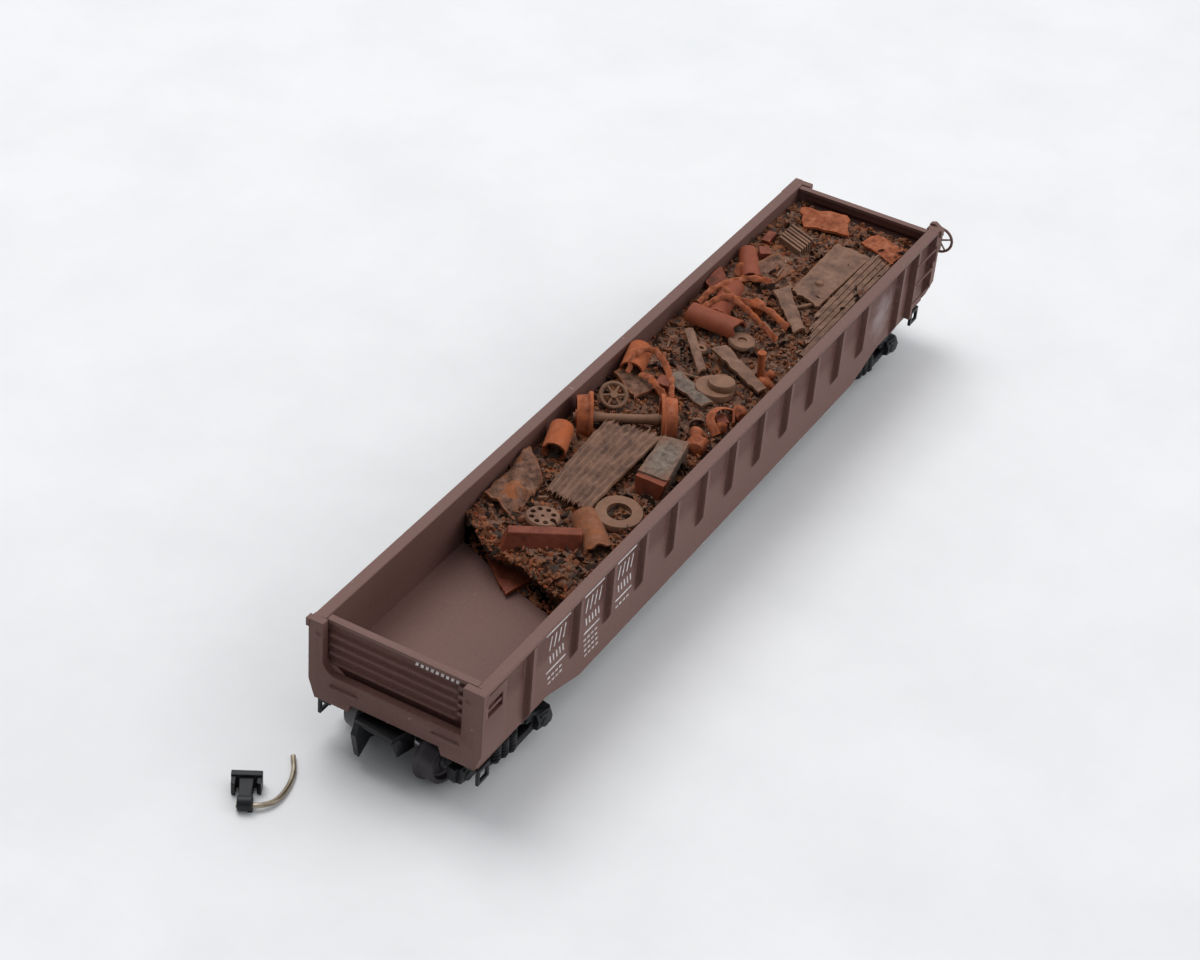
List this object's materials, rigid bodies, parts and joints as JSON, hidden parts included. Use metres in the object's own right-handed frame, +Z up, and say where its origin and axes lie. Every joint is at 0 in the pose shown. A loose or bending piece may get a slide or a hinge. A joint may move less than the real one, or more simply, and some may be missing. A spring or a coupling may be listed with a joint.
{
  "type": "model railway gondola car",
  "caption": "Small-scale model railway open gondola with ribbed sides, drop ends, swivelling two-axle trucks, a lift-out scrap-metal load and a detached knuckle coupler.",
  "frame": {"origin": "middle of the centre sill's flat underside, 4.0 mm above the rail plane the wheels stand on", "axes": "+X along the car towards the brake-wheel end, +Z up, the lettered side faces -Y"},
  "size_m": [0.1158, 0.0232, 0.0158],
  "materials": {
    "body_plastic": "flat muted red-brown moulded and painted plastic",
    "black_plastic": "satin black acetal",
    "wheel_plastic": "satin dark purple-grey plastic",
    "steel": "plain steel",
    "wire": "dull bronze wire",
    "scrap": "rust-washed cast resin"
  },
  "bodies": {
    "body": {"body_shell": "body_plastic", "near_drop_end": "body_plastic", "far_drop_end": "body_plastic", "underframe": "black_plastic", "ballast_plate": "steel", "near_king_pin": "black_plastic", "far_king_pin": "black_plastic", "brake_housing": "body_plastic"},
    "brake_wheel": {"brake_wheel": "body_plastic"},
    "near_truck": {"near_truck_frame": "black_plastic"},
    "near_outer_wheelset": {"near_outer_axle": "steel", "near_outer_wheel_left": "wheel_plastic", "near_outer_wheel_right": "wheel_plastic"},
    "near_inner_wheelset": {"near_inner_axle": "steel", "near_inner_wheel_left": "wheel_plastic", "near_inner_wheel_right": "wheel_plastic"},
    "far_truck": {"far_truck_frame": "black_plastic", "far_pocket_cover": "black_plastic", "far_coupler_spring": "steel"},
    "far_outer_wheelset": {"far_outer_axle": "steel", "far_outer_wheel_left": "wheel_plastic", "far_outer_wheel_right": "wheel_plastic"},
    "far_inner_wheelset": {"far_inner_axle": "steel", "far_inner_wheel_left": "wheel_plastic", "far_inner_wheel_right": "wheel_plastic"},
    "far_coupler": {"far_coupler": "black_plastic", "far_trip_pin": "wire"},
    "loose_coupler": {"loose_coupler": "black_plastic", "loose_trip_pin": "wire"},
    "scrap_load": {"scrap_load": "scrap"}
  },
  "joints": [
    {"name": "brake_wheel_spin", "type": "hinge", "parent": "body", "child": "brake_wheel", "pos_m": [0.0522, -0.0092, 0.0091], "axis": [1, 0, 0], "continuous": true},
    {"name": "near_truck_swivel", "type": "hinge", "parent": "body", "child": "near_truck", "pos_m": [-0.0418, 0, 0.001], "axis": [0, 0, 1], "range_deg": [-3, 25]},
    {"name": "near_outer_wheelset_roll", "type": "hinge", "parent": "near_truck", "child": "near_outer_wheelset", "pos_m": [-0.0471, 0.00103, -0.001], "axis": [0.1908, 0.9816, 0], "continuous": true},
    {"name": "near_inner_wheelset_roll", "type": "hinge", "parent": "near_truck", "child": "near_inner_wheelset", "pos_m": [-0.0365, -0.00103, -0.001], "axis": [0.1908, 0.9816, 0], "continuous": true},
    {"name": "far_truck_swivel", "type": "hinge", "parent": "body", "child": "far_truck", "pos_m": [0.0381, 0, 0.001], "axis": [0, 0, 1], "range_deg": [-5, 23]},
    {"name": "far_outer_wheelset_roll", "type": "hinge", "parent": "far_truck", "child": "far_outer_wheelset", "pos_m": [0.04343, -0.00084, -0.001], "axis": [-0.1564, -0.9877, 0], "continuous": true},
    {"name": "far_inner_wheelset_roll", "type": "hinge", "parent": "far_truck", "child": "far_inner_wheelset", "pos_m": [0.03277, 0.00084, -0.001], "axis": [-0.1564, -0.9877, 0], "continuous": true},
    {"name": "far_coupler_swing", "type": "hinge", "parent": "far_truck", "child": "far_coupler", "pos_m": [0.046, -0.00125, 0.00055], "axis": [0, 0, 1], "range_deg": [-10, 10], "stiffness_Nm_per_rad": 0.002},
    {"name": "loose_coupler_lift", "type": "slide", "parent": "body", "child": "loose_coupler", "axis": [0, 0, 1], "range_m": [0, 0.03]},
    {"name": "scrap_load_lift", "type": "slide", "parent": "body", "child": "scrap_load", "axis": [0, 0, 1], "range_m": [0, 0.03]}
  ]
}
